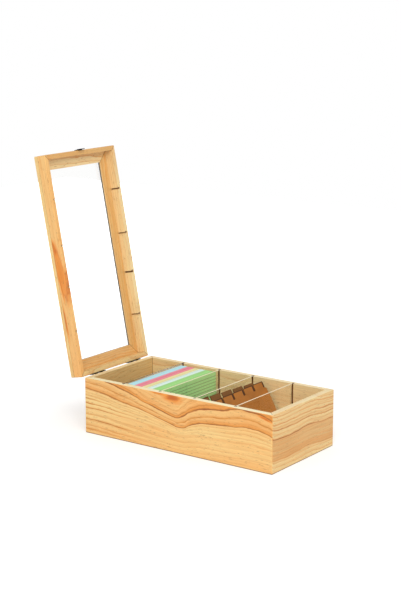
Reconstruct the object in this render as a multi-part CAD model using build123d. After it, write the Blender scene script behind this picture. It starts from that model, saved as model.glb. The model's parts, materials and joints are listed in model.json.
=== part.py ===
from build123d import *
import math
import os

# Wooden recipe card box: mitred pine boards, a framed lid with a clear window on two butt
# hinges, four clear dividers, packs of ruled cards and tabbed guide cards. Millimetres.
# Frame: origin at the middle of the underside, +X to the free end, -Y to the front, +Z up.
# The lid is drawn closed and then swung open about its hinge axis.

# Cards
card_width = 127.0
card_height = 76.2
card_side_room = 5.5
card_head_room = 1.8
pack_thickness = {"blue": 12.0, "pink": 12.8, "yellow": 9.2, "white": 9.5, "green": 17.3}
pack_gap = 0.4

# Tabbed guide cards, in two sets
guide_thickness = 0.5
guide_tabs = 5
guide_tab_height = 9.5
guide_tab_gap = 2.4
guide_corner_radius = 1.5
guide_gap = 0.1
guide_clearance = 0.3
guide_floor_clearance = 0.1
rear_set_toe_offset = 21.2
rear_set_toe_pitch = 2.3
rear_set_side_shift = -2.0
set_lean_step = 1.5

# Box
wall = 9.0
floor_thickness = 4.0
edge_radius = 1.0
corner_radius = 1.5

# Compartments, from the hinge end, between the faces that bound them
hinge_compartment = 55.6
card_compartment = sum(pack_thickness.values()) + (len(pack_thickness) + 1) * pack_gap
middle_compartment = 57.3
guide_compartment = 65.2
free_compartment = 54.7

# Dividers and the grooves they stand in
divider_thickness = 2.0
divider_rim_setback = 0.5
groove_side_clearance = 0.2
groove_end_clearance = 0.3
groove_depth = 3.0

# Lid
lid_rim_wall = 7.0
lid_rim_height = 14.0
lid_frame_width = 22.0
lid_frame_thickness = 6.5
lid_gap = 0.4
lid_notch_depth = 2.5
lid_open_angle = 101.15
window_thickness = 2.5
window_setback = 0.2
window_ledge_width = 5.0
window_side_clearance = 0.3

# Hinges
hinge_length = 30.0
hinge_inset = 36.5
hinge_axis_offset = 2.2
hinge_axis_drop = 2.6
leaf_thickness = 0.8
leaf_height = 15.0
leaf_corner_radius = 1.0
knuckle_radius = 1.25
knuckle_count = 5
knuckle_gap = 0.2
pin_radius = 0.5
pin_clearance = 0.05
pin_head_radius = 1.0
pin_head_thickness = 0.5

# Screws
screw_head_radius = 2.0
screw_shank_radius = 1.1
screw_length = 5.5
screw_clearance = 0.05
screw_slot_width = 0.5
screw_slot_depth = 0.4
leaf_screw_spacing = 18.0

# Lift tab
tab_width = 12.0
tab_thickness = 1.0
tab_rise = 7.0
tab_lip = 5.0
tab_body_clearance = 0.6
tab_corner_radius = 2.0
tab_screw_spacing = 6.0

# Worked out from the sizes above
inner_width = card_width + 2 * card_side_room
box_width = inner_width + 2 * wall
box_height = floor_thickness + card_height + card_head_room
compartments = [
    hinge_compartment, card_compartment, middle_compartment, guide_compartment, free_compartment
]
inner_length = sum(compartments) + (len(compartments) - 1) * divider_thickness
box_length = inner_length + 2 * wall
divider_x = [
    sum(compartments[: i + 1]) + (i + 0.5) * divider_thickness - inner_length / 2
    for i in range(len(compartments) - 1)
]
groove_width = divider_thickness + 2 * groove_side_clearance
lid_bottom = box_height + lid_gap
lid_frame_bottom = lid_bottom + lid_rim_height
lid_top = lid_frame_bottom + lid_frame_thickness
hinge_x = -box_length / 2 - hinge_axis_offset
hinge_z = box_height - hinge_axis_drop
hinge_axis = Axis((hinge_x, 0, hinge_z), (0, 1, 0))
guide_height = card_height + guide_tab_height
cut_margin = 5.0
match_tolerance = 0.01


def block(low, high):
    """Box between two opposite corners."""
    size = [b - a for a, b in zip(low, high)]
    centre = [(a + b) / 2 for a, b in zip(low, high)]
    return Pos(*centre) * Box(*size)


def rounded_block(bottom, top):
    """Outer block of the box or the lid, with worn corners and edges."""
    solid = Pos(0, 0, (bottom + top) / 2) * Box(box_length, box_width, top - bottom)
    solid = fillet(solid.edges().filter_by(Axis.Z), corner_radius)
    ends = solid.faces().filter_by(Axis.Z)
    return fillet(ends.edges(), edge_radius)


def mitre_wedges(bottom, top):
    """Four upright prisms that part a ring along 45 degree mitres, keyed by side."""
    x = box_length / 2 + cut_margin
    y = box_width / 2 + cut_margin
    plans = {
        "front": [(-x, -y), (x, -y), (x - y, 0), (-x + y, 0)],
        "back": [(x, y), (-x, y), (-x + y, 0), (x - y, 0)],
        "hinge": [(-x, y), (-x, -y), (-x + y, 0)],
        "free": [(x, -y), (x, y), (x - y, 0)],
    }
    return {
        side: Pos(0, 0, bottom) * extrude(make_face(Polyline(*plan, close=True)), top - bottom)
        for side, plan in plans.items()
    }


def along_grooves(depth, bottom, top, inner):
    """Cutters for the divider grooves on both long sides of a ring with this inner width."""
    reach = inner / 2 + depth
    return [
        block((x - groove_width / 2, -reach, bottom), (x + groove_width / 2, reach, top))
        for x in divider_x
    ]


def make_box_walls():
    ring = rounded_block(0, box_height)
    over = box_height + cut_margin
    ring -= block(
        (-inner_length / 2, -inner_width / 2, -cut_margin),
        (inner_length / 2, inner_width / 2, over),
    )
    for cutter in along_grooves(groove_depth, floor_thickness, over, inner_width):
        ring -= cutter
    for hole in leaf_screw_holes("body"):
        ring -= hole
    return {side: ring & wedge for side, wedge in mitre_wedges(-cut_margin, over).items()}


def make_bottom_panel():
    return block(
        (-inner_length / 2, -inner_width / 2, 0),
        (inner_length / 2, inner_width / 2, floor_thickness),
    )


def make_lid_boards():
    """Rim boards and frame strips of the closed lid, each keyed by side."""
    lid = rounded_block(lid_bottom, lid_top)
    x = box_length / 2
    y = box_width / 2
    below = lid_bottom - cut_margin
    above = lid_top + cut_margin
    rim = lid - block(
        (-x + lid_rim_wall, -y + lid_rim_wall, below), (x - lid_rim_wall, y - lid_rim_wall, above)
    )
    rim &= block((-x - cut_margin, -y - cut_margin, below),
                 (x + cut_margin, y + cut_margin, lid_frame_bottom))
    notched = box_width - 2 * lid_rim_wall
    for cutter in along_grooves(lid_notch_depth, below, lid_frame_bottom, notched):
        rim -= cutter
    for hole in leaf_screw_holes("lid") + tab_screw_holes():
        rim -= hole
    frame = lid - block(
        (-x + lid_frame_width, -y + lid_frame_width, below),
        (x - lid_frame_width, y - lid_frame_width, above),
    )
    frame &= block((-x - cut_margin, -y - cut_margin, lid_frame_bottom),
                   (x + cut_margin, y + cut_margin, above))
    edge = lid_frame_width - window_ledge_width
    frame -= block((-x + edge, -y + edge, window_bottom()), (x - edge, y - edge, above))
    wedges = mitre_wedges(below, above)
    rims = {side: rim & wedge for side, wedge in wedges.items()}
    frames = {side: frame & wedge for side, wedge in wedges.items()}
    return rims, frames


def window_bottom():
    return lid_top - window_setback - window_thickness


def make_window():
    edge = lid_frame_width - window_ledge_width + window_side_clearance
    x = box_length / 2 - edge
    y = box_width / 2 - edge
    return block((-x, -y, window_bottom()), (x, y, window_bottom() + window_thickness))


def screw(radius_growth=0.0):
    """Countersunk wood screw along +X with its head's flat at x = 0, or its hole if grown."""
    head = screw_head_radius + radius_growth
    shank = screw_shank_radius + radius_growth
    taper = screw_head_radius - screw_shank_radius
    profile = Polyline(
        (0, 0), (0, head), (taper, shank), (screw_length + radius_growth, shank),
        (screw_length + radius_growth, 0), close=True,
    )
    return revolve(make_face(profile), Axis.X, 360)


def slotted_screw():
    """A screw with the driver slot across its head."""
    half = screw_slot_width / 2
    return screw() - block((-cut_margin, -screw_head_radius, -half),
                           (screw_slot_depth, screw_head_radius, half))


def hinge_places():
    y = box_width / 2 - hinge_inset
    return [-y, y]


def leaf_span(half):
    """Low and high z of the plate of a body or lid leaf in the closed pose."""
    start = knuckle_radius - leaf_thickness
    if half == "body":
        return hinge_z - start - leaf_height, hinge_z - start
    return hinge_z + start, hinge_z + start + leaf_height


def leaf_screw_places(half):
    """Y and z of the four leaf screws on one side of the hinge line."""
    low, high = leaf_span(half)
    if half == "body":
        z = (low + high) / 2
    else:
        z = (max(low, lid_bottom) + min(high, lid_frame_bottom)) / 2
    return [
        (y + step * leaf_screw_spacing / 2, z) for y in hinge_places() for step in (-1, 1)
    ]


def leaf_screw_holes(half):
    face = -box_length / 2 - leaf_thickness
    return [Pos(face, y, z) * screw(screw_clearance) for y, z in leaf_screw_places(half)]


def make_leaf_screws(half):
    face = -box_length / 2 - leaf_thickness
    return [Pos(face, y, z) * slotted_screw() for y, z in leaf_screw_places(half)]


def make_leaf(half, y):
    """One hinge leaf in the closed pose: plate, necks and its share of the knuckles."""
    low, high = leaf_span(half)
    outer = -box_length / 2 - leaf_thickness
    plate = block((outer, y - hinge_length / 2, low), (-box_length / 2, y + hinge_length / 2, high))
    far = low if half == "body" else high
    corners = [e for e in plate.edges().filter_by(Axis.X) if abs(e.center().Z - far) < match_tolerance]
    leaf = fillet(corners, leaf_corner_radius)
    side = -1 if half == "body" else 1
    neck_low, neck_high = sorted(
        (hinge_z + side * (knuckle_radius - leaf_thickness), hinge_z + side * knuckle_radius)
    )
    pitch = hinge_length / knuckle_count
    along_y = Rot(-90, 0, 0)
    first = 0 if half == "body" else 1
    for i in range(first, knuckle_count, 2):
        centre = y - hinge_length / 2 + (i + 0.5) * pitch
        width = pitch - knuckle_gap
        leaf += Pos(hinge_x, centre, hinge_z) * along_y * Cylinder(knuckle_radius, width)
        leaf += block((hinge_x, centre - width / 2, neck_low),
                      (-box_length / 2, centre + width / 2, neck_high))
    bore = Pos(hinge_x, y, hinge_z) * along_y
    leaf -= bore * Cylinder(pin_radius + pin_clearance, hinge_length + cut_margin)
    for hole in leaf_screw_holes(half):
        leaf -= hole
    return leaf


def make_pin(y):
    """Hinge pin with a flat head just outside each end knuckle."""
    along_y = Rot(-90, 0, 0)
    pin = Pos(hinge_x, y, hinge_z) * along_y * Cylinder(pin_radius, hinge_length)
    for end in (-1, 1):
        centre = y + end * (hinge_length + pin_head_thickness) / 2
        pin += Pos(hinge_x, centre, hinge_z) * along_y * Cylinder(
            pin_head_radius, pin_head_thickness
        )
    return pin


def tab_screw_places():
    z = lid_bottom + tab_rise / 2 + tab_thickness
    return [(-tab_screw_spacing / 2, z), (tab_screw_spacing / 2, z)]


def tab_screw_holes():
    face = box_length / 2 + tab_thickness
    return [Pos(face, y, z) * Rot(0, 0, 180) * screw(screw_clearance)
            for y, z in tab_screw_places()]


def make_tab_screws():
    face = box_length / 2 + tab_thickness
    return [Pos(face, y, z) * Rot(0, 0, 180) * slotted_screw() for y, z in tab_screw_places()]


def make_lift_tab():
    """Bent metal tab on the closed lid's free end, its lip standing off the box wall."""
    x = box_length / 2
    out = tab_body_clearance
    thick = tab_thickness
    bend = lid_bottom + edge_radius
    top = lid_bottom + tab_rise
    low = lid_bottom - tab_lip
    section = Polyline(
        (x, bend + out), (x, top), (x + thick, top), (x + thick, bend + out),
        (x + thick + out, bend), (x + thick + out, low), (x + out, low), (x + out, bend),
        close=True,
    )
    face = make_face(Plane.XZ * section)
    tab = Pos(0, tab_width / 2, 0) * extrude(face, tab_width, dir=(0, -1, 0))
    ends = [e for e in tab.edges().filter_by(Axis.X)
            if min(abs(e.center().Z - low), abs(e.center().Z - top)) < match_tolerance]
    tab = fillet(ends, tab_corner_radius)
    for hole in tab_screw_holes():
        tab -= hole
    return tab


def make_divider(x):
    reach = inner_width / 2 + groove_depth - groove_end_clearance
    half = divider_thickness / 2
    return block((x - half, -reach, floor_thickness),
                 (x + half, reach, box_height - divider_rim_setback))


def make_card_packs():
    """One block for each colour of card, standing in the second compartment."""
    packs = {}
    x = divider_x[0] + divider_thickness / 2 + pack_gap
    for colour, thickness in pack_thickness.items():
        packs[colour] = block((x, -card_width / 2, floor_thickness),
                              (x + thickness, card_width / 2, floor_thickness + card_height))
        x += thickness + pack_gap
    return packs


def make_guide(column):
    """Upright guide card with its tab in one column, its rear foot on the Y axis."""
    tab = (card_width - (guide_tabs - 1) * guide_tab_gap) / guide_tabs
    y = column * (tab + guide_tab_gap) - card_width / 2
    card = block((0, -card_width / 2, 0), (guide_thickness, card_width / 2, card_height))
    card += block((0, y, 0), (guide_thickness, y + tab, guide_height))
    tops = [e for e in card.edges().filter_by(Axis.X) if e.center().Z > guide_height - match_tolerance]
    return fillet(tops, guide_corner_radius)


def guide_places():
    """Column, foot x, shift along y and lean of every guide, from the rear one forward.

    The rear set leans on the divider behind it, each card's tab beside the tab of the one
    before, so their feet and leans step apart. The front set stands as one close pack.
    """
    rear_face = divider_x[2] + divider_thickness / 2
    front_face = divider_x[3] - divider_thickness / 2
    toe = front_face - rear_set_toe_offset
    lean = math.asin((toe - rear_face - guide_clearance) / guide_height)
    front_lean = lean - math.radians(set_lean_step)
    places = []
    for column in range(guide_tabs):
        places.append((column, toe, rear_set_side_shift, math.degrees(lean)))
        room = rear_set_toe_pitch * math.cos(lean) - guide_thickness - guide_gap
        lean += math.asin(room / (guide_height - guide_corner_radius))
        toe += rear_set_toe_pitch
    pitch = (guide_thickness + guide_gap) / math.cos(front_lean)
    toe = front_face - guide_clearance - guide_tabs * pitch
    for column in reversed(range(guide_tabs)):
        places.append((column, toe, 0, math.degrees(front_lean)))
        toe += pitch
    return places


def make_guides():
    z = floor_thickness + guide_floor_clearance
    return [Pos(toe, shift, z) * Rot(0, -lean, 0) * make_guide(column)
            for column, toe, shift, lean in guide_places()]


def swung_open(shape):
    return shape.rotate(hinge_axis, -lid_open_angle)


def group(solids):
    return Compound(children=list(solids))


def make_nodes():
    nodes = {f"{side}_wall" if side in ("front", "back") else f"{side}_end_wall": board
             for side, board in make_box_walls().items()}
    nodes["bottom_panel"] = make_bottom_panel()
    rims, frames = make_lid_boards()
    for side, board in rims.items():
        nodes[f"lid_{side}_rim"] = swung_open(board)
    for side, board in frames.items():
        nodes[f"lid_{side}_frame"] = swung_open(board)
    nodes["lid_window"] = swung_open(make_window())
    for name, y in zip(("front", "back"), hinge_places()):
        nodes[f"{name}_hinge_body_leaf"] = make_leaf("body", y)
        nodes[f"{name}_hinge_lid_leaf"] = swung_open(make_leaf("lid", y))
        nodes[f"{name}_hinge_pin"] = make_pin(y)
    nodes["body_leaf_screws"] = group(make_leaf_screws("body"))
    nodes["lid_leaf_screws"] = group(swung_open(s) for s in make_leaf_screws("lid"))
    nodes["lift_tab"] = swung_open(make_lift_tab())
    nodes["lift_tab_screws"] = group(swung_open(s) for s in make_tab_screws())
    for i, x in enumerate(divider_x, 1):
        nodes[f"divider_{i}"] = make_divider(x)
    for colour, pack in make_card_packs().items():
        nodes[f"{colour}_card_pack"] = pack
    for i, guide in enumerate(make_guides(), 1):
        nodes[f"tab_guide_{i}"] = guide
    return nodes


os.makedirs("parts", exist_ok=True)
for node_name, shape in make_nodes().items():
    export_step(shape, f"parts/{node_name}.step")
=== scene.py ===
import json
import math
from dataclasses import dataclass

import bpy
import numpy as np
from bpy.props import FloatProperty, FloatVectorProperty, IntProperty, PointerProperty
from mathutils import Matrix, Vector


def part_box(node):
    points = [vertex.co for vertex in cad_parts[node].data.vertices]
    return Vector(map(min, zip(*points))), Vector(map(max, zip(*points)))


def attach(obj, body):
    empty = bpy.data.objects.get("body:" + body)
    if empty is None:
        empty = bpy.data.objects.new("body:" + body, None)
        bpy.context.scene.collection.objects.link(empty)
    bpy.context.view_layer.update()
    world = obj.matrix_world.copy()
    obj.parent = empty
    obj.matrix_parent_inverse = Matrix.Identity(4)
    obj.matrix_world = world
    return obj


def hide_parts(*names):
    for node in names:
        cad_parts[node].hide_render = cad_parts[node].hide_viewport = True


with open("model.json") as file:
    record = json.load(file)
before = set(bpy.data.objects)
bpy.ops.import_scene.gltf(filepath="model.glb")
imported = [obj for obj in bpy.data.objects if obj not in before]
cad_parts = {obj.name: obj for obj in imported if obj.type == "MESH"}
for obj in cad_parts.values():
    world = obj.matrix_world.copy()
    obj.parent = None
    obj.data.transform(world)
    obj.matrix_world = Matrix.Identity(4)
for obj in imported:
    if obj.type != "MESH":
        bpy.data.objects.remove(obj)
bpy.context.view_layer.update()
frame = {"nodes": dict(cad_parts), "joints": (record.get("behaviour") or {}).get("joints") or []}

bl_info = {
    "name": "Card Box Finishes",
    "version": (1, 0, 0),
    "blender": (4, 5, 0),
    "location": "3D View > Sidebar > Card Box",
    "description": "Pine, clear acrylic, card, kraft board and dark bronze for a recipe card box",
    "category": "Object",
}

MM = 0.001

# The box, from the frame, in metres.
BOX_LOW = Vector((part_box("hinge_end_wall")[0].x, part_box("front_wall")[0].y, 0.0))
BOX_HIGH = Vector((
    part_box("free_end_wall")[1].x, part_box("back_wall")[1].y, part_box("front_wall")[1].z,
))
BOX_SIZE = BOX_HIGH - BOX_LOW
DIVIDERS = 4

# The lid, in metres as it lies when closed.
LID_HINGE = next(joint for joint in frame["joints"] if joint["name"] == "lid_hinge")
LID_CLOSING = math.radians(LID_HINGE["range_deg"][1])
RIM_GAP = 0.4 * MM
LID_RIM_HEIGHT = 14.0 * MM
LID_SEAM = BOX_HIGH.z + RIM_GAP + LID_RIM_HEIGHT
LID_FRAME_WIDTH = 22.0 * MM
WINDOW_LOW = LID_SEAM + 3.8 * MM

# The guide cards: five tabs side by side, on two sets that lean back.
GUIDES = 10
REAR_SET = 5
TABS = 5
TAB_GAP = 2.4 * MM
TAB_RISE = 8.1 * MM
GUIDE_LEAN = math.radians(31.0)

# The camera looks down at the front and the free end from well back, through a long lens.
CAMERA_AZIMUTH = math.radians(35.92)
CAMERA_ELEVATION = math.radians(12.36)
CAMERA_DISTANCE = 2.102
CAMERA_TARGET = Vector((-0.02219, 0.01356, 0.19655))
LENS_MM = 133.56
SENSOR_MM = 36.0

# Each lamp is a disk: its place and its width in metres. Both shine at the middle of the box.
KEY_LAMP = ((1.3, -1.8, 1.9), 1.8)
FILL_LAMP = ((2.0, -0.9, 1.9), 1.4)
LAMP_TARGET = Vector((0, 0, 0.1))
FLOOR_REACH = 2.0


def srgb(code):
    """Linear red, green and blue of an sRGB hex colour."""
    parts = [int(code[i : i + 2], 16) / 255 for i in (1, 3, 5)]
    return tuple(c / 12.92 if c <= 0.04045 else ((c + 0.055) / 1.055) ** 2.4 for c in parts)


def colour_property(name, description, code):
    """A colour that a user can change, from its hex value."""
    return FloatVectorProperty(
        name=name, description=description, subtype="COLOR", size=3, min=0, max=1,
        default=srgb(code),
    )


def length_property(name, description, millimetres):
    """A length that a user can change, from its millimetres."""
    return FloatProperty(
        name=name, description=description, default=millimetres * MM, min=0.0,
        subtype="DISTANCE", unit="LENGTH",
    )


def power_property(name, description, watts):
    """A lamp's power that a user can change, from its watts."""
    return FloatProperty(name=name, description=description, default=watts, min=0.0, unit="POWER")


class PineLook(bpy.types.PropertyGroup):
    """Colours and line widths of the pine boards"""

    golden: colour_property("Golden pine", "Early wood of the golden boards", "#fddb94")
    straw: colour_property("Straw pine", "Early wood of the paler boards", "#f6d897")
    cream: colour_property("Cream pine", "Early wood of the palest boards", "#ffe7ad")
    orange: colour_property("Orange pine", "Resin-rich bands and the glow of a knot", "#f3932c")
    tan: colour_property("Tan pine", "Heartwood bands of the paler boards", "#e0aa64")
    ring: colour_property("Ring", "Late wood beside a ring's edge", "#e0943e")
    line: colour_property("Ring line", "The thin dark edge of a ring", "#8c4815")
    knot: colour_property("Knot", "The core of a knot", "#c8620e")
    fleck: colour_property("Resin fleck", "Short resin canals", "#9a6230")
    # Painted highlight: the walls' top edges are lightened towards this colour, where the tops
    # catch the light.
    painted_top_highlight: colour_property("Top edge highlight", "Painted highlight along the top edges", "#fff1c2")
    # Painted shade inside the walls' grooves and along the foot of the walls.
    painted_shade: colour_property("Groove and foot shade", "Painted shade deep in a groove and under the walls", "#683810")
    glue: colour_property("Glue line", "The shadow in a mitre or a seam", "#7a4a20")
    # Painted shade along the inner edge of the window's frame.
    window_edge_shade: colour_property("Window edge shade", "Painted shade along the edge of the window", "#5a5450")
    # A real glue line is a tenth of a millimetre wide, and is drawn wider so that it shows.
    seam_width: length_property("Seam width", "Width of a mitre or seam line", 0.5)
    # How far the painted shade beside a wall's groove reaches out from it.
    groove_shade_reach: length_property("Groove shade reach", "How far painted shade reaches beside a groove", 0.65)


class CardLook(bpy.types.PropertyGroup):
    """Colours, sheets and rules of the ruled cards"""

    blue: colour_property("Blue card", "Blue cards", "#cdf8ff")
    pink: colour_property("Pink card", "Pink cards", "#ff9fae")
    yellow: colour_property("Yellow card", "Yellow cards", "#fff6b8")
    white: colour_property("White card", "White cards", "#ecfff6")
    green: colour_property("Green card", "Green cards", "#b8ee9a")
    # A real card is 0.2 mm thick and a printed rule 0.3 mm wide. Both are drawn about twice as
    # coarse, so that they show.
    sheet_pitch: length_property("Sheet pitch", "From one card to the next", 0.42)
    sheet_thickness: length_property("Card thickness", "Thickness of one card", 0.4)
    uneven: length_property("Unevenness", "How far cards stand out of line", 0.35)
    first_rule: length_property("First rule", "From the top edge to the first rule", 5.6)
    rule_pitch: length_property("Rule pitch", "From one rule to the next", 4.6)
    rule_width: length_property("Rule width", "Width of a rule", 0.75)
    rules: IntProperty(name="Rules", description="Rules on a card", default=15, min=1)


class TrimLook(bpy.types.PropertyGroup):
    """Colours of the guide cards, the metal fittings and the clear sheets"""

    kraft: colour_property("Kraft board", "Uncoated brown board", "#bb7834")
    # The rear set's board: the same kraft, darkened as painted shade.
    kraft_painted_shade: colour_property("Shaded kraft board", "Board of the rear set", "#84592c")
    kraft_fibre: colour_property("Kraft fibre", "Dark fibres in the board", "#8a5528")
    # Painted shade on the cards' thin edges, along the tab tops and beside the gaps between tabs.
    kraft_edge_shade: colour_property("Kraft edge", "Painted shade on the edges and along the tabs", "#4a2c12")
    bronze: colour_property("Dark bronze", "Antiqued plating of the fittings", "#22160e")
    bronze_worn: colour_property("Worn bronze", "Plating where it has rubbed", "#5a3e26")
    acrylic: colour_property("Acrylic", "The clear sheet", "#fdfdfc")
    acrylic_edge: colour_property("Acrylic edge", "Saw-cut edge of the sheet", "#fff0cc")
    # Painted shade on the sheet's side edges, for the shadow of the grooves they sit in.
    acrylic_side_shade: colour_property("Acrylic side", "Side edge, darkened as painted shade", "#8a6844")


class StageLook(bpy.types.PropertyGroup):
    """Lamps, even light and floor"""

    key: power_property("Key lamp", "Power of the key lamp", 36)
    fill: power_property("Fill lamp", "Power of the fill lamp", 6)
    sky: FloatProperty(name="Sky", description="Strength of the even light", default=0.57, min=0)
    floor: colour_property("Floor", "Plain pale floor", "#f4f4f4")
    backdrop: colour_property("Backdrop", "What the eye sees behind the object", "#ffffff")


def add(tree, kind, links=(), output=0, **settings):
    """Adds a shader node with its settings and links, and returns one of its outputs.

    links holds a socket or a value for each input, by the input's name or number, or just in
    order. A node that has no outputs is returned itself.
    """
    node = tree.nodes.new("ShaderNode" + kind)
    for name, value in settings.items():
        setattr(node, name, value)
    for key, value in links.items() if isinstance(links, dict) else enumerate(links):
        socket = node.inputs[key]
        if isinstance(value, bpy.types.NodeSocket):
            tree.links.new(value, socket)
        else:
            socket.default_value = (*value, 1.0) if socket.type == "RGBA" else value
    return node.outputs[output] if node.outputs else node


def new_material(name):
    """A material with an empty tree."""
    material = bpy.data.materials.new(name)
    material.use_nodes = True
    material.node_tree.nodes.clear()
    return material, material.node_tree


def layered(tree, colour, *layers):
    """A colour with others laid over it in turn. Each layer is a share and a colour."""
    for portion, over in layers:
        # Inputs 6 and 7 and output 2 of a Mix node are its colours.
        colour = add(tree, "Mix", {0: portion, 6: colour, 7: over}, output=2, data_type="RGBA")
    return colour


def tones_over(tree, value, stops, interpolation="LINEAR"):
    """Greys along a value, from the first stop to the last. Each stop is a place and a grey."""
    low, high = stops[0][0], stops[-1][0]
    tones = add(tree, "ValToRGB", (add(tree, "MapRange", (value, low, high)),))
    ramp = tones.node.color_ramp
    ramp.interpolation = interpolation
    ramp.elements.remove(ramp.elements[-1])
    for i, (at, grey) in enumerate(stops):
        place = (at - low) / (high - low)
        element = ramp.elements.new(place) if i else ramp.elements[0]
        element.position = place
        element.color = (grey, grey, grey, 1.0)
    return tones


def curve_over(tree, value, points):
    """A smooth curve along a value, through points that are a place and a height each."""
    start, end = points[0][0], points[-1][0]
    heights = [height for at, height in points]
    low, high = min(heights), max(heights)
    height = add(tree, "FloatCurve", {"Value": add(tree, "MapRange", (value, start, end))})
    curve = height.node.mapping.curves[0]
    for i, (at, level) in enumerate(points):
        place = ((at - start) / (end - start), (level - low) / (high - low))
        if i in (0, len(points) - 1):
            curve.points[0 if i == 0 else -1].location = place
        else:
            curve.points.new(*place)
    height.node.mapping.update()
    return add(tree, "MapRange", (height, 0, 1, low, high))


def dress(node, material):
    """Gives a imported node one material."""
    mesh = frame["nodes"][node].data
    mesh.materials.clear()
    mesh.materials.append(material)


# ---------------------------------------------------------------- pine boards


@dataclass
class Pattern:
    """Noise in the wood.

    size is how many millimetres it takes to change along, across and through the board.
    limits are two values of the noise and spread is what they are turned to, with all beyond
    them cut off. Without a spread the noise stays as it is. seed is added to the board's own.
    """

    size: tuple
    limits: tuple = (0.0, 1.0)
    spread: tuple = ()
    seed: float = 0.0
    detail: float = 2.0


# WANDER and WAVER shift the rings, slowly and finely. UNEVEN_RINGS sets them closer or wider,
# RING_STRENGTH and LINE_WEAR let them come and go, and BLOTCHES darken the wood between them.
WANDER = Pattern((167, 45.5, 33.3), (0.25, 0.75), (-1.0, 1.0))
WAVER = Pattern((20, 8.33, 8.33), (0.2, 0.8), (-0.9, 0.9), seed=5)
UNEVEN_RINGS = Pattern((500, 20, 20), seed=3)
RING_STRENGTH = Pattern((250, 33.3, 33.3), (0.35, 0.7), (0.25, 1.0), seed=7)
LINE_WEAR = Pattern((50, 10, 10), (0.3, 0.6), (0.55, 1.0), seed=9)
BLOTCHES = Pattern((200, 50, 50), (0.35, 0.75), (0.0, 0.3), seed=11)
# Real fibres and resin canals are under a tenth of a millimetre wide, too fine to show, so both
# are drawn close to a millimetre wide.
FIBRE = Pattern((33.3, 0.714, 0.714), (0.3, 0.7), seed=17, detail=4.0)
FLECKS = Pattern((7.69, 0.909, 0.909), (0.63, 0.71), (0.0, 0.7), seed=23)
KNOT_RAGS = Pattern((20, 4, 20))

# What the fibre turns to between its limits: how light the wood is, and how rough its varnish.
FIBRE_SHADE = (0.88, 1.07)
VARNISH_ROUGHNESS = (0.50, 0.38)
FIBRE_RELIEF = 0.5

# Late wood over one ring, from one sharp line to the next.
RING_PROFILE = (
    (0.0, 0.8), (0.05, 1.0), (0.14, 0.5), (0.45, 0.2), (0.75, 0.0), (0.96, 0.0), (1.0, 0.5),
)
# Late wood over a strong ring, by millimetres above its place.
STRONG_PROFILE = ((-0.9, 0.0), (-0.2, 1.0), (0.5, 0.9), (1.1, 0.45), (2.9, 0.0))
STRONG_MARGIN = 30
# Glow, core and rim of a knot, by the share of the way out from its middle.
KNOT_GLOW = ((0.0, 1.0), (0.8, 0.8), (1.5, 0.0))
KNOT_CORE = ((0.0, 1.0), (0.45, 0.8), (0.75, 0.2))
KNOT_RIM = ((0.85, 0.4), (0.98, 1.0), (1.04, 0.2), (1.3, 0.0))

# The rings tilt through a board by this much for each millimetre of depth, and the uneven ones
# drift by up to this many rings.
RING_TILT = 0.3
RING_DRIFT = 2.2
# The late wood that counts as none and as all of a ring's tone, and of its dark line.
RING_LIMITS = (0.0, 0.5)
LINE_LIMITS = (0.4, 1.0)
# How far the noise moves a knot's outline in and out, as a share of its reach.
KNOT_RAG_REACH = 0.4
# A seam or a mitre line is full over this share of its width, and the frame's seam is faint.
LINE_CORE = 0.4
SEAM_SHADE = 0.4
# Millimetres below the top edge where the painted highlight starts and is full, and above the
# floor where the painted shadow under the box ends and is full.
PAINTED_HIGHLIGHT_BAND = (0.35, 0.1)
FOOT_BAND = (1.8, 0.8)
FOOT_SHADE = 0.85
# How far a groove's painted shade reaches past its divider, and past the wall's face or short of
# it.
GROOVE_ROOM = 0.3 * MM
GROOVE_SKIN = 0.15 * MM
# Width of the painted shade along the window's edge, and how far it stays inside the frame's edge.
WINDOW_SHADE_WIDTH = 2.2 * MM
WINDOW_SHADE_SKIN = 0.1 * MM
GRAIN_RELIEF = 0.15 * MM


@dataclass
class Knot:
    """A knot or a flame: place along and across, half length, half width and turn in degrees.

    core is how dark its middle is, edge how dark its rim is and glow how orange the rest is.
    """

    along: float
    across: float
    half_length: float
    half_width: float
    turn: float
    core: float = 0.0
    edge: float = 0.0
    glow: float = 1.0


@dataclass
class Board:
    """How one board was sawn. Lengths are millimetres from the frame's origin.

    along, across and through are the axes of its grain, its wide face and its thickness, and
    face is where the face that shows lies through it.
    rise is how far the rings climb across the board for each millimetre along it.
    marks are strong rings and bands are tones, both by their place across the rings.
    bend carries the rings across the board, as places along it and shifts. opened draws the
    rings above spread_from closer together or lets them out. Below the second height of calm
    the rings lose some of the bend, and below its first they keep only its third value of it.
    fading are more strong rings, and fade is how strong they are along the board.
    The last field is how far a wall's top edge is lightened, a painted highlight where the top
    catches the light.
    """

    along: str
    across: str
    through: str
    face: float
    seed: float
    lid: bool = False
    wood: str = "straw"
    tone: str = "tan"
    rise: float = 0.0
    spacing: float = 9.0
    contrast: float = 0.4
    wander: float = 7.0
    marks: tuple = ()
    bands: tuple = ((0, 0.1), (100, 0.1))
    knots: tuple = ()
    bend: tuple = ()
    spread_from: float = 0.0
    opened: tuple = ()
    calm: tuple = ()
    fading: tuple = ()
    fade: tuple = ()
    painted_top_highlight: float = 0.45


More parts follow.
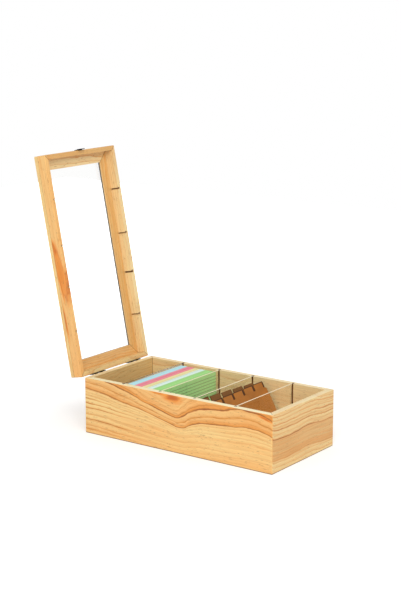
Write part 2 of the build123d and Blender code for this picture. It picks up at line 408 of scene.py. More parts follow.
# The rings of the front wall run down to a sharp dip under its knot, then climb and level off.
FRONT_WALL_BEND = (
    (-161, -6.3), (-125, -9.8), (-98, -15.2), (-80, -17.5), (-55, -21.4), (-30, -27), (-12, -31),
    (-2, -33.5), (6, -35), (14, -34.4), (23, -29.8), (35, -25), (48, -21.7), (70, -19.8),
    (95, -17.3), (125, -14.3), (145, -16.5), (161, -21),
)
FRONT_WALL_OPENED = (
    (-161, 0.8), (-106, 0.78), (-85, 0.86), (-65, 1.02), (-46, 1.18), (-10, 1.18), (4, 1.07),
    (14, 0.82), (25, 0.75), (48, 0.71), (82, 0.68), (100, 0.61), (123, 0.65), (161, 0.7),
)
FREE_WALL_BEND = ((-78, 3.5), (-47, -0.8), (-19, -0.5), (14, 0.5), (50, -2.5), (78, -3.5))

# Where the faces of the boards lie, in millimetres.
HINGE_END, FRONT, BOX_FLOOR = (v / MM for v in BOX_LOW)
FREE_END, BACK, BOX_TOP = (v / MM for v in BOX_HIGH)
FRAME_FACE = LID_SEAM / MM

BOARDS = {
    "front_wall": Board(
        "X", "Z", "Y", FRONT, 1.3, wood="golden", tone="orange", contrast=0.4, wander=1.2,
        spacing=8, bend=FRONT_WALL_BEND, spread_from=72.3, opened=FRONT_WALL_OPENED,
        calm=(40, 72.3, 0.35), painted_top_highlight=1.0,
        marks=((66, 0.35), (72.3, 1.0), (75.5, 0.3), (79.5, 0.55), (87, 1.0), (90.5, 0.55),
               (98, 0.35)),
        fading=((9, 0.6), (14, 0.6), (23, 0.85), (31, 0.5), (40.5, 0.7), (48.5, 0.8),
                (56, 0.6), (61, 0.5)),
        fade=((-161, 1.0), (-110, 0.85), (-60, 0.45), (-20, 0.2), (60, 0.25), (161, 0.2)),
        bands=((-10, 0.0), (10, 0.2), (22, 0.0), (40, 0.15), (46, 0.0), (64, 0.05), (71.9, 0.15),
               (72.5, 0.75), (77, 0.35), (86.5, 0.25), (87.2, 0.95), (92, 0.5), (100, 0.3),
               (125, 0.25)),
        knots=(Knot(-4, 78.5, 15, 7, -3, core=1.0), Knot(-29, 81, 13, 1.7, -3, core=0.3),
               Knot(149, 75, 12, 1.7, -16, core=0.7)),
    ),
    "back_wall": Board("X", "Z", "Y", BACK, 5.1, wood="cream", rise=0.04, spacing=10,
                       contrast=0.3),
    "hinge_end_wall": Board("Y", "Z", "X", HINGE_END, 8.7, rise=0.03, contrast=0.3, spacing=5,
                            bands=((0, 0.25), (100, 0.25))),
    "free_end_wall": Board(
        "Y", "Z", "X", FREE_END, 3.9, contrast=0.5, spacing=7.5, wander=2, bend=FREE_WALL_BEND,
        marks=((17.5, 0.5), (21, 0.35), (25, 0.4), (31, 0.25), (47, 0.85), (53, 0.3), (58.5, 0.7),
               (62, 0.4), (66, 0.7), (72, 0.4), (77, 0.5)),
        bands=((0, 0.0), (16.5, 0.1), (18, 0.85), (30, 0.6), (46.5, 0.75), (47.5, 0.1), (82, 0.0)),
    ),
    "bottom_panel": Board("X", "Y", "Z", BOX_FLOOR, 2.2, spacing=14, wander=12),
    "lid_front_rim": Board(
        "X", "Z", "Y", FRONT, 11.4, lid=True, wood="golden", tone="orange", contrast=0.3,
        spacing=8, bands=((80, 0.25), (105, 0.2)),
        knots=(Knot(28, 94.5, 15, 3.2, 12, core=1.0), Knot(-10, 89, 36, 6.5, 5, core=0.2, edge=0.6),
               Knot(-24, 92.5, 26, 1.6, 4, core=0.5), Knot(-80, 95, 26, 1.8, 2, core=0.8)),
    ),
    "lid_back_rim": Board("X", "Z", "Y", BACK, 14.8, lid=True, wood="cream", contrast=0.3,
                          spacing=5),
    "lid_hinge_rim": Board("Y", "Z", "X", HINGE_END, 17.3, lid=True, spacing=6),
    "lid_free_rim": Board("Y", "Z", "X", FREE_END, 19.9, lid=True, spacing=6,
                          bands=((0, 0.8), (110, 0.8))),
    "lid_front_frame": Board("X", "Y", "Z", FRAME_FACE, 23.1, lid=True, wood="golden", spacing=8),
    "lid_back_frame": Board("X", "Y", "Z", FRAME_FACE, 26.6, lid=True, contrast=0.6, spacing=5,
                            bands=((0, 0.5), (100, 0.5))),
    "lid_hinge_frame": Board("Y", "X", "Z", FRAME_FACE, 29.2, lid=True, contrast=0.7, spacing=5,
                             bands=((-200, 0.6), (0, 0.6))),
    "lid_free_frame": Board("Y", "X", "Z", FRAME_FACE, 31.5, lid=True, wood="cream", contrast=0.4,
                            spacing=6),
}


def closed_place(tree):
    """Object coordinates turned back about the hinge, so that a lid board's grain is square."""
    pivot = Vector(LID_HINGE["pos_m"])
    turn = Matrix.Rotation(LID_CLOSING, 3, "Y")
    return add(tree, "Mapping", {
        "Vector": add(tree, "TexCoord", output="Object"),
        "Rotation": (0, LID_CLOSING, 0),
        "Location": pivot - turn @ pivot,
    })


def grain_noise(tree, grain, pattern, seed, times=1.0):
    """A pattern's noise, from 0 to 1, or over its spread times a number."""
    place = add(tree, "Mapping", {
        "Vector": grain,
        "Scale": [1 / size for size in pattern.size],
        "Location": [seed + pattern.seed] * 3,
    })
    noise = add(tree, "TexNoise", {
        "Vector": place, "Scale": 1.0, "Detail": pattern.detail, "Roughness": 0.55,
    })
    if not pattern.spread:
        return noise
    return add(tree, "MapRange", (noise, *pattern.limits, *(times * v for v in pattern.spread)))


def bent_back(tree, board, along, across):
    """Place across the rings with their bend taken out.

    A ring at q lies at q + f * bend, where f is 1 above the calm rings, the kept share below
    them, and runs straight between, so each of the three has its own inverse.
    """
    bend = curve_over(tree, along, board.bend)
    place = add(tree, "Math", (across, bend), operation="SUBTRACT")
    if board.calm:
        low, high, kept = board.calm
        slope = (1 - kept) / (high - low)
        top = add(tree, "Math", (bend, slope * low - kept, across), operation="MULTIPLY_ADD")
        stretch = add(tree, "Math", (bend, slope, 1.0), operation="MULTIPLY_ADD")
        between = add(tree, "Math", (top, stretch), operation="DIVIDE")
        below = add(tree, "Math", (bend, -kept, across), operation="MULTIPLY_ADD")
        calmer = add(tree, "Math", (between, below), operation="MAXIMUM")
        place = add(tree, "Math", (place, calmer), operation="MINIMUM")
    if board.opened:
        apart = add(tree, "Math", (place, board.spread_from), operation="SUBTRACT")
        opening = curve_over(tree, along, board.opened)
        opened = add(tree, "Math", (apart, opening, board.spread_from), operation="MULTIPLY_ADD")
        above = add(tree, "Math", (apart, 0.0), operation="GREATER_THAN")
        place = add(tree, "Mix", {"Factor": above, "A": place, "B": opened})
    return place


def ring_place(tree, board, along, across, through, grain):
    """Place across the rings: across, less the climb and the bend, plus a slow wander."""
    wander = grain_noise(tree, grain, WANDER, board.seed, board.wander)
    waver = grain_noise(tree, grain, WAVER, board.seed)
    depth = add(tree, "Math", (through, board.face), operation="SUBTRACT")
    place = add(tree, "Math", (along, -board.rise, across), operation="MULTIPLY_ADD")
    place = add(tree, "Math", (depth, RING_TILT, place), operation="MULTIPLY_ADD")
    if board.bend:
        place = bent_back(tree, board, along, place)
    for shift in (wander, waver):
        place = add(tree, "Math", (place, shift), operation="ADD")
    return place


def pine_rings(tree, board, place, grain):
    """Late wood from 0 to 1: each ring starts at a sharp line and fades over its width."""
    uneven = grain_noise(tree, grain, UNEVEN_RINGS, board.seed)
    count = add(tree, "Math", (place, 1 / board.spacing), operation="MULTIPLY")
    count = add(tree, "Math", (uneven, RING_DRIFT, count), operation="MULTIPLY_ADD")
    late = tones_over(tree, add(tree, "Math", (count,), operation="FRACT"), RING_PROFILE)
    strength = grain_noise(tree, grain, RING_STRENGTH, board.seed, board.contrast)
    return add(tree, "Math", (late, strength), operation="MULTIPLY")


def strong_rings(tree, marks, place):
    """Strong rings, each a thin line with a glow on its upper side.

    Neighbouring rings take turns on two ramps, and the stronger ramp counts.
    """
    ramps = []
    for first in (0, 1):
        stops = [(marks[0][0] - STRONG_MARGIN, 0.0)]
        for at, strength in marks[first::2]:
            stops += [(at + above, strength * late) for above, late in STRONG_PROFILE]
        ramps.append(tones_over(tree, place, stops + [(marks[-1][0] + STRONG_MARGIN, 0.0)]))
    return add(tree, "Math", ramps, operation="MAXIMUM")


def late_wood(tree, board, rings_at, along, grain):
    """All late wood from 0 to 1: the even rings, and the strong ones, worn here and there."""
    late = pine_rings(tree, board, rings_at, grain)
    worn = grain_noise(tree, grain, LINE_WEAR, board.seed)
    for marks, fade in ((board.marks, ()), (board.fading, board.fade)):
        if marks:
            strong = add(tree, "Math", (strong_rings(tree, marks, rings_at), worn),
                         operation="MULTIPLY")
            if fade:
                strong = add(tree, "Math", (strong, tones_over(tree, along, fade)),
                             operation="MULTIPLY")
            late = add(tree, "Math", (late, strong), operation="MAXIMUM")
    return late


def with_knot(tree, colour, knot, along, across, grain, look):
    """The colour with one knot or flame in it, shaped as a turned and ragged ellipse."""
    plane = add(tree, "CombineXYZ", (along, across))
    moved = add(tree, "VectorMath", (plane, (knot.along, knot.across, 0)), operation="SUBTRACT")
    turned = add(tree, "Mapping", {"Vector": moved, "Rotation": (0, 0, -math.radians(knot.turn))})
    shrink = (1 / knot.half_length, 1 / knot.half_width, 0)
    squared = add(tree, "VectorMath", (turned, shrink), operation="MULTIPLY")
    reach = add(tree, "VectorMath", (squared,), output="Value", operation="LENGTH")
    ragged = grain_noise(tree, grain, KNOT_RAGS, knot.along)
    reach = add(tree, "Math", (ragged, 2 * KNOT_RAG_REACH, reach), operation="MULTIPLY_ADD")
    reach = add(tree, "Math", (reach, KNOT_RAG_REACH), operation="SUBTRACT")
    glow = tones_over(tree, reach, [(at, knot.glow * tone) for at, tone in KNOT_GLOW])
    core = [(at, knot.core * tone) for at, tone in KNOT_CORE]
    rim = [(at, knot.edge * tone) for at, tone in KNOT_RIM]
    dark = tones_over(tree, reach, core + rim)
    return layered(tree, colour, (glow, look.orange), (dark, look.knot))


def outer_depth(tree, place):
    """How deep a point lies under the end faces and under the long faces, and its place."""
    part = add(tree, "SeparateXYZ", (place,)).node.outputs
    depths = []
    for half, axis in ((BOX_SIZE.x / 2, "X"), (BOX_SIZE.y / 2, "Y")):
        out = add(tree, "Math", (part[axis],), operation="ABSOLUTE")
        depths.append(add(tree, "Math", (half, out), operation="SUBTRACT"))
    return *depths, part


def joint_lines(tree, place, look):
    """1 in the thin shadow of a mitre, and of the seam between the lid's rim and its frame."""
    width = look.seam_width
    under_end, under_side, part = outer_depth(tree, place)
    deeper = add(tree, "Math", (under_end, under_side), operation="MAXIMUM")
    nearer = add(tree, "Math", (under_end, under_side), operation="MINIMUM")

    apart = add(tree, "Math", (deeper, nearer), operation="SUBTRACT")
    mitre = add(tree, "MapRange", (apart, width, LINE_CORE * width))
    inside = add(tree, "MapRange", (deeper, 2 * width, 3 * width))
    mitre = add(tree, "Math", (mitre, inside), operation="MULTIPLY")

    above = add(tree, "Math", (part["Z"], LID_SEAM), operation="SUBTRACT")
    above = add(tree, "Math", (above,), operation="ABSOLUTE")
    seam = add(tree, "MapRange", (above, width, LINE_CORE * width, 0.0, SEAM_SHADE))
    outside = add(tree, "MapRange", (nearer, 3 * width, 2 * width))
    seam = add(tree, "Math", (seam, outside), operation="MULTIPLY")
    return add(tree, "Math", (mitre, seam), operation="MAXIMUM")


def groove_walls(tree, place, thickness, spread):
    """1 for painted shade inside the grooves for the dividers and on a strip beside them.

    spread is how far that painted shade reaches out from a groove, and without it only the groove
    counts.
    """
    under_end, under_side, part = outer_depth(tree, place)
    reach = GROOVE_ROOM + spread
    stops = [(BOX_LOW.x, 0.0)]
    for i in range(1, DIVIDERS + 1):
        low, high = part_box(f"divider_{i}")
        stops += [(low.x - reach, 1.0), (high.x + reach, 0.0)]
    beside = tones_over(tree, part["X"], stops + [(BOX_HIGH.x, 0.0)], "CONSTANT")
    face = thickness + GROOVE_SKIN if spread else thickness - GROOVE_SKIN
    behind_face = add(tree, "Math", (under_side, face), operation="LESS_THAN")
    inner_half = add(tree, "Math", (under_side, thickness / 2), operation="GREATER_THAN")
    buried = add(tree, "Math", (behind_face, inner_half), operation="MULTIPLY")
    return add(tree, "Math", (beside, buried), operation="MULTIPLY")


def painted_window_edge(tree, place):
    """1 for painted shade on the frame's inner edge, between the window pane and the ledge of the
    frame, 0 elsewhere.
    """
    under_end, under_side, part = outer_depth(tree, place)
    nearer = add(tree, "Math", (under_end, under_side), operation="MINIMUM")
    at_edge = add(tree, "Math", (nearer, LID_FRAME_WIDTH - WINDOW_SHADE_SKIN), operation="GREATER_THAN")
    by_pane = add(tree, "Math", (part["Z"], WINDOW_LOW - WINDOW_SHADE_WIDTH), operation="GREATER_THAN")
    return add(tree, "Math", (at_edge, by_pane), operation="MULTIPLY")


def board_edges(tree, name, board, colour, place, height, look):
    """The colour with its edge marks: painted highlight on a wall's top, painted shadow at its
    foot, mitre and seam lines, and painted shade in the grooves and along the window's edge.
    """
    if name.endswith("_wall"):
        # Painted highlight along the top edge, and painted shadow along the foot of the wall.
        start, full = (BOX_TOP - below for below in PAINTED_HIGHLIGHT_BAND)
        painted_top_highlight = add(tree, "MapRange", (height, start, full, 0.0, board.painted_top_highlight))
        foot = add(tree, "MapRange", (height, *FOOT_BAND, 0.0, FOOT_SHADE))
        colour = layered(tree, colour, (painted_top_highlight, look.painted_top_highlight), (foot, look.painted_shade))
    colour = layered(tree, colour, (joint_lines(tree, place, look), look.glue))
    if name.endswith("_frame"):
        # Painted shade along the window's edge.
        return layered(tree, colour, (painted_window_edge(tree, place), look.window_edge_shade))
    if board.along != "X" or name == "bottom_panel":
        return colour
    # Only the long walls and rims are cut for the dividers. The walls' grooves get painted shade
    # inside them and on a strip beside them, while the lid's notches get painted shade in the seam
    # colour inside them only.
    low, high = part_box(name)
    spread, groove_shade = (0.0, look.glue) if board.lid else (look.groove_shade_reach, look.painted_shade)
    return layered(tree, colour, (groove_walls(tree, place, high.y - low.y, spread), groove_shade))


def pine(name, board, look):
    """Planed pine under a satin varnish: pale wood, with rings that end in a sharp dark line."""
    material, tree = new_material(f"varnished_pine_{name}")
    place = closed_place(tree) if board.lid else add(tree, "TexCoord", output="Object")
    millimetres = add(tree, "VectorMath", (place, (1 / MM,) * 3), operation="MULTIPLY")
    part = add(tree, "SeparateXYZ", (millimetres,)).node.outputs
    along, across, through = part[board.along], part[board.across], part[board.through]
    grain = add(tree, "CombineXYZ", (along, across, through))
    rings_at = ring_place(tree, board, along, across, through, grain)
    late = late_wood(tree, board, rings_at, along, grain)

    blotch = grain_noise(tree, grain, BLOTCHES, board.seed)
    bands = tones_over(tree, rings_at, board.bands)
    colour = layered(
        tree, getattr(look, board.wood),
        (add(tree, "Math", (bands, blotch), operation="ADD"), getattr(look, board.tone)),
        (add(tree, "MapRange", (late, *RING_LIMITS)), look.ring),
        (add(tree, "MapRange", (late, *LINE_LIMITS)), look.line),
    )
    for knot in board.knots:
        colour = with_knot(tree, colour, knot, along, across, grain, look)
    fibre = grain_noise(tree, grain, FIBRE, board.seed)
    shade = add(tree, "MapRange", (fibre, *FIBRE.limits, *FIBRE_SHADE))
    colour = add(tree, "VectorMath", {0: colour, "Scale": shade}, operation="SCALE")
    colour = layered(tree, colour, (grain_noise(tree, grain, FLECKS, board.seed), look.fleck))
    colour = board_edges(tree, name, board, colour, place, part["Z"], look)

    relief = add(tree, "Math", (fibre, FIBRE_RELIEF, late), operation="MULTIPLY_ADD")
    bump = add(tree, "Bump", {"Height": relief, "Distance": GRAIN_RELIEF, "Strength": 0.35})
    shader = add(tree, "BsdfPrincipled", {
        "Base Color": colour, "IOR": 1.5, "Normal": bump,
        "Roughness": add(tree, "MapRange", (fibre, *FIBRE.limits, *VARNISH_ROUGHNESS)),
    })
    add(tree, "OutputMaterial", (shader,))
    return material


class CARDBOX_OT_boards(bpy.types.Operator):
    """Finish every board of the box and the lid in its own piece of pine"""

    bl_idname = "card_box.boards"
    bl_label = "Pine boards"

    def execute(self, context):
        look = context.scene.card_box_pine
        for node, board in BOARDS.items():
            dress(node, pine(node, board, look))
        return {"FINISHED"}


# ---------------------------------------------------------------- clear panes


# A face turns to face an axis as its normal's part along it goes from the first to the second.
EDGE_ON = (0.4, 0.6)
# Roughness and clearness of the polished faces, and of the sawn edges.
SHEET_ROUGHNESS = (0.02, 0.5)
SHEET_CLEARNESS = (1.0, 0.05)
# How milky the sawn edges show: well, hardly beside the cards, and not at all in the lid.
MILKY, HARDLY_MILKY, NOT_MILKY = 1.0, 0.1, 0.0


def clear_acrylic(name, look, milky):
    """Cast acrylic sheet: clear with a polished face, milky where the saw cut its top edge.

    The side edges are darkened as painted shade, for the groove's shadow they sit in. Lamps shine
    straight through the sheet, as they do through a thin pane.
    """
    material, tree = new_material(name)
    normal = add(tree, "SeparateXYZ", (add(tree, "TexCoord", output="Normal"),)).node.outputs
    edges = []
    for axis in ("Z", "Y"):
        facing = add(tree, "Math", (normal[axis],), operation="ABSOLUTE")
        edges.append(add(tree, "MapRange", (facing, *EDGE_ON, 0.0, milky)))
    top, side = edges
    cut = add(tree, "Math", (top, side), operation="ADD")
    shader = add(tree, "BsdfPrincipled", {
        "Base Color": layered(tree, look.acrylic, (top, look.acrylic_edge),
                              (side, look.acrylic_side_shade)),
        "Roughness": add(tree, "MapRange", (cut, 0.0, 1.0, *SHEET_ROUGHNESS)),
        "IOR": 1.49,
        "Transmission Weight": add(tree, "MapRange", (cut, 0.0, 1.0, *SHEET_CLEARNESS)),
    })
    lamp_ray = add(tree, "LightPath", output="Is Shadow Ray")
    through = add(tree, "BsdfTransparent", (look.acrylic,))
    add(tree, "OutputMaterial", (add(tree, "MixShader", (lamp_ray, shader, through)),))
    return material


class CARDBOX_OT_panes(bpy.types.Operator):
    """Finish the dividers and the lid window in clear acrylic"""

    bl_idname = "card_box.panes"
    bl_label = "Clear panes"

    def execute(self, context):
        look = context.scene.card_box_trim
        divider = clear_acrylic("cast_acrylic_divider", look, MILKY)
        for i in range(2, DIVIDERS + 1):
            dress(f"divider_{i}", divider)
        dress("divider_1", clear_acrylic("cast_acrylic_first_divider", look, HARDLY_MILKY))
        dress("lid_window", clear_acrylic("cast_acrylic_window", look, NOT_MILKY))
        return {"FINISHED"}


# ---------------------------------------------------------------- ruled cards


CARD_PACKS = ("blue", "pink", "yellow", "white", "green")
CARD_SEED = 7
# Shares of a card's own colour: the darker sheets of a pack, and the printed rules.
SHEET_SHADE = 0.75
RULE_SHADE = 0.3
# Sheets to one change of tone in a pack, the noise that counts as none and as all of the
# change, and its strength.
TONE_SHEETS = 6.25
TONE_LIMITS = (0.4, 0.65)
TONE_STRENGTH = 0.8
# A rule fades out from the second to the first of these shares of its width.
RULE_FADE = (0.7, 0.3)
# A slab's faces, by its corners in the order of card_stack.
SLAB = ((0, 1, 3, 2), (4, 6, 7, 5), (0, 4, 5, 1), (2, 3, 7, 6), (0, 2, 6, 4), (1, 5, 7, 3))


def card_stack(low, high, look, rng):
    """Points and faces of a row of upright cards.

    Each card is a thin slab, and they stand from low.x to high.x in steps of the sheet pitch.
    Its eight corners are every sign of half its thickness, half its width and half its height,
    moved by small random shifts along y and z. The outermost cards aren't moved.
    """
    count = round((high.x - low.x) / look.sheet_pitch)
    pitch = (high.x - low.x) / count
    shift = rng.uniform(-1, 1, (count, 2)) * look.uneven
    shift[[0, -1]] = 0.0
    centre = np.stack([
        low.x + pitch * (np.arange(count) + 0.5),
        (low.y + high.y) / 2 + shift[:, 0],
        (low.z + high.z) / 2 + shift[:, 1] / 2,
    ], axis=-1)
    half = np.array([
        look.sheet_thickness / 2,
        (high.y - low.y) / 2 - look.uneven,
        (high.z - low.z) / 2 - look.uneven / 2,
    ])
    signs = np.array([[a, b, c] for a in (-1, 1) for b in (-1, 1) for c in (-1, 1)])
    points = centre[:, None] + signs * half
    faces = np.array(SLAB) + len(signs) * np.arange(count)[:, None, None]
    return points.reshape(-1, 3), faces.reshape(-1, 4)


def new_piece(name, points, faces, material):
    """A mesh object at the origin, with its place in its mesh."""
    mesh = bpy.data.meshes.new(name)
    mesh.from_pydata(points.tolist(), [], faces.tolist())
    mesh.update()
    mesh.materials.append(material)
    piece = bpy.data.objects.new(name, mesh)
    bpy.context.scene.collection.objects.link(piece)
    return piece


def ruled_card(name, colour, top, look):
    """Uncoated index card: soft matt colour, printed with evenly spaced rules.

    A rule is where the way down from the first one is a whole number of pitches.
    """
    material, tree = new_material(f"ruled_card_{name}")
    part = add(tree, "SeparateXYZ", (add(tree, "TexCoord", output="Object"),)).node.outputs
    sheet = add(tree, "Math", (part["X"], 1 / look.sheet_pitch), operation="MULTIPLY")
    tint = add(tree, "TexNoise", {"W": sheet, "Scale": 1 / TONE_SHEETS, "Detail": 3.0},
               noise_dimensions="1D")
    tint = add(tree, "MapRange", (tint, *TONE_LIMITS, 0.0, TONE_STRENGTH))

    pitch = look.rule_pitch
    down = add(tree, "Math", (top - look.first_rule, part["Z"]), operation="SUBTRACT")
    off_rule = add(tree, "Math", (down, pitch / 2), operation="PINGPONG")
    rule = add(tree, "MapRange", (off_rule, *(share * look.rule_width for share in RULE_FADE)))
    from_first = add(tree, "Math", (down, -pitch / 2), operation="GREATER_THAN")
    to_last = add(tree, "Math", (down, (look.rules - 0.5) * pitch), operation="LESS_THAN")
    for inside in (from_first, to_last):
        rule = add(tree, "Math", (rule, inside), operation="MULTIPLY")

    shader = add(tree, "BsdfPrincipled", {
        "Base Color": layered(tree, colour, (tint, [SHEET_SHADE * c for c in colour]),
                              (rule, [RULE_SHADE * c for c in colour])),
        "Roughness": 0.75,
        "IOR": 1.45,
    })
    add(tree, "OutputMaterial", (shader,))
    return material


class CARDBOX_OT_card_packs(bpy.types.Operator):
    """Make each pack of ruled cards out of separate cards"""

    bl_idname = "card_box.card_packs"
    bl_label = "Card packs"

    def execute(self, context):
        look = context.scene.card_box_cards
        rng = np.random.default_rng(CARD_SEED)
        for name in CARD_PACKS:
            node = f"{name}_card_pack"
            low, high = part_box(node)
            points, faces = card_stack(low, high, look, rng)
            material = ruled_card(name, getattr(look, name), high.z, look)
            piece = new_piece(f"{name}_cards", points, faces, material)
            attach(piece, node)
            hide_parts(node)
        return {"FINISHED"}


# ---------------------------------------------------------------- guide cards and fittings


# Real board fibres are finer than this, and are drawn coarser so that they show.
BOARD_FIBRE = 1.11 * MM
BOARD_CLOUD = 16.7 * MM
BOARD_RELIEF = 0.05 * MM
RUBBED_PATCH = 2.86 * MM
# Two values of each noise, and the shares of its colour that they turn to.
FIBRE_TONE = (0.58, 0.70, 0.0, 0.4)
CLOUD_TONE = (0.35, 0.75, 0.0, 0.35)
RUBBED_TONE = (0.55, 0.75, 0.0, 0.6)
RUBBED_ROUGHNESS = (0.3, 0.7, 0.65, 0.5)
# How far the painted shade reaches into the board from a tab's gaps and top: where it starts to
# fade and where it ends.
TAB_SHADE_SIDES = (0.7 * MM, 1.1 * MM)
TAB_SHADE_TOP = (0.8 * MM, 1.3 * MM)


def painted_tab_shade(tree, place, top):
    """1 for painted shade along the sides of the gaps between tabs and along the tops of the tabs,
    0 elsewhere.
    """
    part = add(tree, "SeparateXYZ", (place,)).node.outputs
    low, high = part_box("tab_guide_1")
    step = (high.y - low.y + TAB_GAP) / TABS
    along = add(tree, "Math", (part["Y"], low.y - TAB_GAP / 2), operation="SUBTRACT")
    off_gap = add(tree, "Math", (along, step / 2), operation="PINGPONG")
    full, end = (TAB_GAP / 2 + depth for depth in TAB_SHADE_SIDES)
    beside = add(tree, "MapRange", (off_gap, end, full))
    above_root = add(tree, "Math", (part["Z"], top - TAB_RISE), operation="GREATER_THAN")
    sides = add(tree, "Math", (beside, above_root), operation="MULTIPLY")
    full, end = (top - depth for depth in TAB_SHADE_TOP)
    return add(tree, "Math", (add(tree, "MapRange", (part["Z"], end, full)), sides),
               operation="MAXIMUM")


def kraft_board(name, colour, top, look):
    """Uncoated kraft board: matt brown, flecked with fibres, with painted shade on its edges.

    top is the height of the tabs, which get painted shade along their tops and the sides of their
    gaps too.
    """
    material, tree = new_material(name)
    place = add(tree, "TexCoord", output="Object")
    cloud = add(tree, "TexNoise", {"Vector": place, "Scale": 1 / BOARD_CLOUD, "Detail": 4.0})
    fibre = add(tree, "TexNoise", {"Vector": place, "Scale": 1 / BOARD_FIBRE, "Detail": 2.0})
    face = (math.cos(GUIDE_LEAN), 0, math.sin(GUIDE_LEAN))
    facing = add(tree, "VectorMath", (place.node.outputs["Normal"], face), output="Value",
                 operation="DOT_PRODUCT")
    facing = add(tree, "Math", (facing,), operation="ABSOLUTE")
    # Painted shade on the card's thin edges and along its tabs.
    edge = add(tree, "MapRange", (facing, *reversed(EDGE_ON)))
    edge = add(tree, "Math", (edge, painted_tab_shade(tree, place, top)), operation="MAXIMUM")
    colour = layered(
        tree, colour,
        (add(tree, "MapRange", (cloud, *CLOUD_TONE)), look.kraft_fibre),
        (add(tree, "MapRange", (fibre, *FIBRE_TONE)), look.kraft_fibre),
        (edge, look.kraft_edge_shade),
    )
    bump = add(tree, "Bump", {"Height": fibre, "Distance": BOARD_RELIEF, "Strength": 0.3})
    shader = add(tree, "BsdfPrincipled", {
        "Base Color": colour, "Roughness": 0.8, "IOR": 1.45, "Normal": bump,
    })
    add(tree, "OutputMaterial", (shader,))
    return material


def dark_bronze(look):
    """Stamped steel with antiqued bronze plating: dark, half dull, rubbed in patches."""
    material, tree = new_material("antiqued_bronze_plating")
    place = add(tree, "TexCoord", output="Object")
    rub = add(tree, "TexNoise", {"Vector": place, "Scale": 1 / RUBBED_PATCH, "Detail": 3.0})
    rubbed = add(tree, "MapRange", (rub, *RUBBED_TONE))
    shader = add(tree, "BsdfPrincipled", {
        "Base Color": layered(tree, look.bronze, (rubbed, look.bronze_worn)),
        "Metallic": 1.0,
        "Specular Tint": look.bronze_worn,
        "Roughness": add(tree, "MapRange", (rub, *RUBBED_ROUGHNESS)),
    })
    add(tree, "OutputMaterial", (shader,))
    return material


class CARDBOX_OT_guides(bpy.types.Operator):
    """Finish the tabbed guide cards in kraft board"""

    bl_idname = "card_box.guides"
    bl_label = "Guide cards"

    def execute(self, context):
        look = context.scene.card_box_trim
        rear_top, front_top = (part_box(f"tab_guide_{i}")[1].z for i in (1, GUIDES))
        # The rear set is the same kraft, darkened as painted shade.
        rear = kraft_board("kraft_board_rear_set", look.kraft_painted_shade, rear_top, look)
        front = kraft_board("kraft_board_front_set", look.kraft, front_top, look)
        for i in range(1, GUIDES + 1):
            dress(f"tab_guide_{i}", rear if i <= REAR_SET else front)
        return {"FINISHED"}


class CARDBOX_OT_fittings(bpy.types.Operator):
    """Finish the hinges, the lift tab and their screws in dark bronze"""

    bl_idname = "card_box.fittings"
    bl_label = "Fittings"

    def execute(self, context):
        metal = dark_bronze(context.scene.card_box_trim)
        for node in sorted(frame["nodes"]):
            if any(word in node for word in ("leaf", "pin", "lift_tab")):
                dress(node, metal)
        return {"FINISHED"}


# ---------------------------------------------------------------- stage


# The floor near the object shows its shadow. From the first distance to the second it grows as
# white as the backdrop.
FLOOR_FADE = (0.25, 0.9)
FLOOR_GLOW = (0.3, 1.0)


def area_lamp(name, place, size, power):
    """A round soft lamp that shines at the box."""
    lamp = bpy.data.lights.new(name, "AREA")
    lamp.shape = "DISK"
    lamp.size = size
    lamp.energy = power
    body = bpy.data.objects.new(name, lamp)
    body.location = place
    body.rotation_euler = (LAMP_TARGET - Vector(place)).to_track_quat("-Z", "Y").to_euler()
    # Hidden from reflections, so that no pane mirrors the whole lamp as a white sheet.
    body.visible_glossy = False
    bpy.context.scene.collection.objects.link(body)


def seen_by_eye(tree):
    """1 for rays that show the backdrop: from the camera, a reflection or clear acrylic."""
    rays = add(tree, "LightPath").node.outputs
    seen = rays["Is Camera Ray"]
    for ray in ("Is Glossy Ray", "Is Transmission Ray"):
        seen = add(tree, "Math", (seen, rays[ray]), operation="MAXIMUM")
    return seen


def make_floor(look):
    """Plain pale floor that reads as white and keeps the object's shadow."""
    material, tree = new_material("pale_floor")
    lit = add(tree, "BsdfDiffuse", (look.floor,))
    away = add(tree, "VectorMath", (add(tree, "TexCoord", output="Object"),), output="Value",
               operation="LENGTH")
    bright = add(tree, "MapRange", (away, *FLOOR_FADE, *FLOOR_GLOW))
    glow = add(tree, "Math", (seen_by_eye(tree), bright), operation="MULTIPLY")
    white = add(tree, "Emission", (look.backdrop, glow))
    add(tree, "OutputMaterial", (add(tree, "AddShader", (lit, white)),))
    corners = FLOOR_REACH * np.array([[-1, -1, 0], [1, -1, 0], [1, 1, 0], [-1, 1, 0]])
    floor = new_piece("floor", corners, np.array([[0, 1, 2, 3]]), material)


def make_sky(look):
    """Even white light that looks pure white behind the object."""
    world = bpy.data.worlds.new("studio")
    world.use_nodes = True
    tree = world.node_tree
    tree.nodes.clear()
    strength = add(tree, "MapRange", (seen_by_eye(tree), 0.0, 1.0, look.sky, 1.0))
    add(tree, "OutputWorld", (add(tree, "Background", (look.backdrop, strength)),))
    bpy.context.scene.world = world


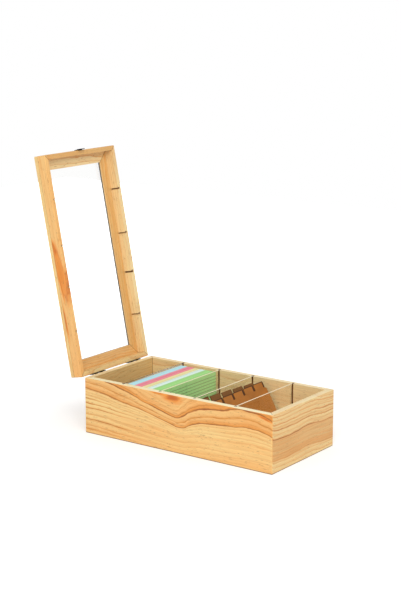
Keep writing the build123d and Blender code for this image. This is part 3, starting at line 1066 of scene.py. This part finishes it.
def make_camera():
    """Camera on a sphere about its target, at the set azimuth, elevation and distance."""
    back = Vector((
        math.sin(CAMERA_AZIMUTH) * math.cos(CAMERA_ELEVATION),
        -math.cos(CAMERA_AZIMUTH) * math.cos(CAMERA_ELEVATION),
        math.sin(CAMERA_ELEVATION),
    ))
    data = bpy.data.cameras.new("camera")
    data.sensor_fit = "HORIZONTAL"
    data.sensor_width = SENSOR_MM
    data.lens = LENS_MM
    camera = bpy.data.objects.new("camera", data)
    camera.location = CAMERA_TARGET + CAMERA_DISTANCE * back
    camera.rotation_euler = back.to_track_quat("Z", "Y").to_euler()
    bpy.context.scene.collection.objects.link(camera)
    bpy.context.scene.camera = camera


class CARDBOX_OT_stage(bpy.types.Operator):
    """Add the floor, the even light, two soft lamps and the camera"""

    bl_idname = "card_box.stage"
    bl_label = "Stage"

    def execute(self, context):
        look = context.scene.card_box_stage
        make_floor(look)
        make_sky(look)
        area_lamp("key_lamp", *KEY_LAMP, look.key)
        area_lamp("fill_lamp", *FILL_LAMP, look.fill)
        make_camera()
        context.scene.view_settings.view_transform = "Standard"
        return {"FINISHED"}


# ---------------------------------------------------------------- panel and running


OPERATORS = (
    CARDBOX_OT_boards, CARDBOX_OT_panes, CARDBOX_OT_card_packs, CARDBOX_OT_guides,
    CARDBOX_OT_fittings, CARDBOX_OT_stage,
)
LOOKS = {
    "card_box_pine": PineLook,
    "card_box_cards": CardLook,
    "card_box_trim": TrimLook,
    "card_box_stage": StageLook,
}


class CARDBOX_PT_panel(bpy.types.Panel):
    """Lists the pieces of the card box and their looks"""

    bl_idname = "CARDBOX_PT_panel"
    bl_label = "Card Box"
    bl_space_type = "VIEW_3D"
    bl_region_type = "UI"
    bl_category = "Card Box"

    def draw(self, context):
        for operator in OPERATORS:
            self.layout.operator(operator.bl_idname)
        for attribute, group in LOOKS.items():
            column = self.layout.column()
            for name in group.__annotations__:
                column.prop(getattr(context.scene, attribute), name)


CLASSES = (*LOOKS.values(), *OPERATORS, CARDBOX_PT_panel)


def register():
    for group in CLASSES:
        bpy.utils.register_class(group)
    for attribute, group in LOOKS.items():
        setattr(bpy.types.Scene, attribute, PointerProperty(type=group))


def unregister():
    for attribute in LOOKS:
        delattr(bpy.types.Scene, attribute)
    for group in reversed(CLASSES):
        bpy.utils.unregister_class(group)


def main():
    register()
    bpy.ops.card_box.boards()
    bpy.ops.card_box.panes()
    bpy.ops.card_box.card_packs()
    bpy.ops.card_box.guides()
    bpy.ops.card_box.fittings()
    bpy.ops.card_box.stage()


if __name__ == "__main__":
    main()
